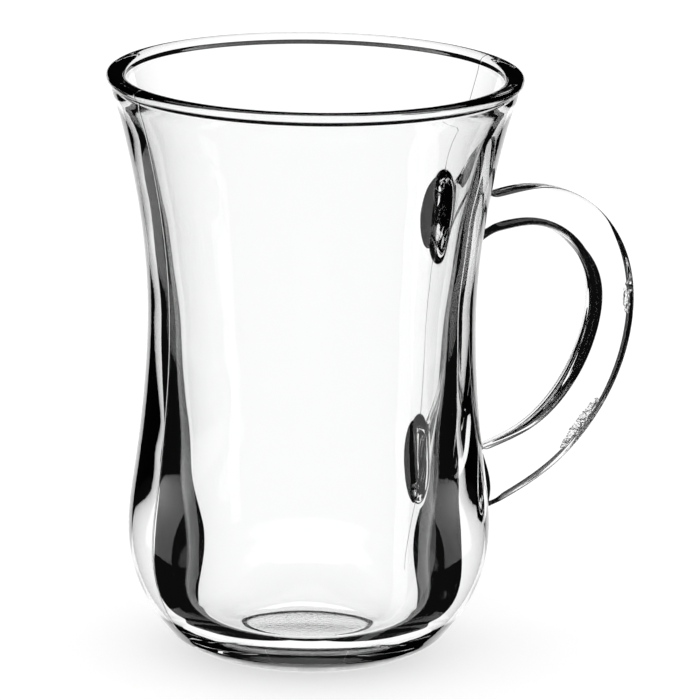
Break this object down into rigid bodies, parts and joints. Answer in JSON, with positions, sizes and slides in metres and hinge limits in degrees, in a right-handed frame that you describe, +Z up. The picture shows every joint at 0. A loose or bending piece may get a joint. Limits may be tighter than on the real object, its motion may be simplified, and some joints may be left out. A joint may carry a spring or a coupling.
{
  "type": "tea glass",
  "caption": "Tulip-shaped tea glass with a flared rim, narrow waist, round thick base and an open strap handle, in clear pressed glass.",
  "frame": {"origin": "on the surface the glass stands on, under the middle of the box round cup and handle; the cup's own axis is at x = -16.1 mm", "axes": "+Z up along the cup's axis, +X from the cup towards the handle, the handle lies in the XZ plane"},
  "size_m": [0.1082, 0.076, 0.1085],
  "materials": {
    "clear_glass": "clear colourless pressed glass, fire-polished, glossy"
  },
  "bodies": {
    "root": {"tea_glass": "clear_glass"}
  },
  "joints": []
}
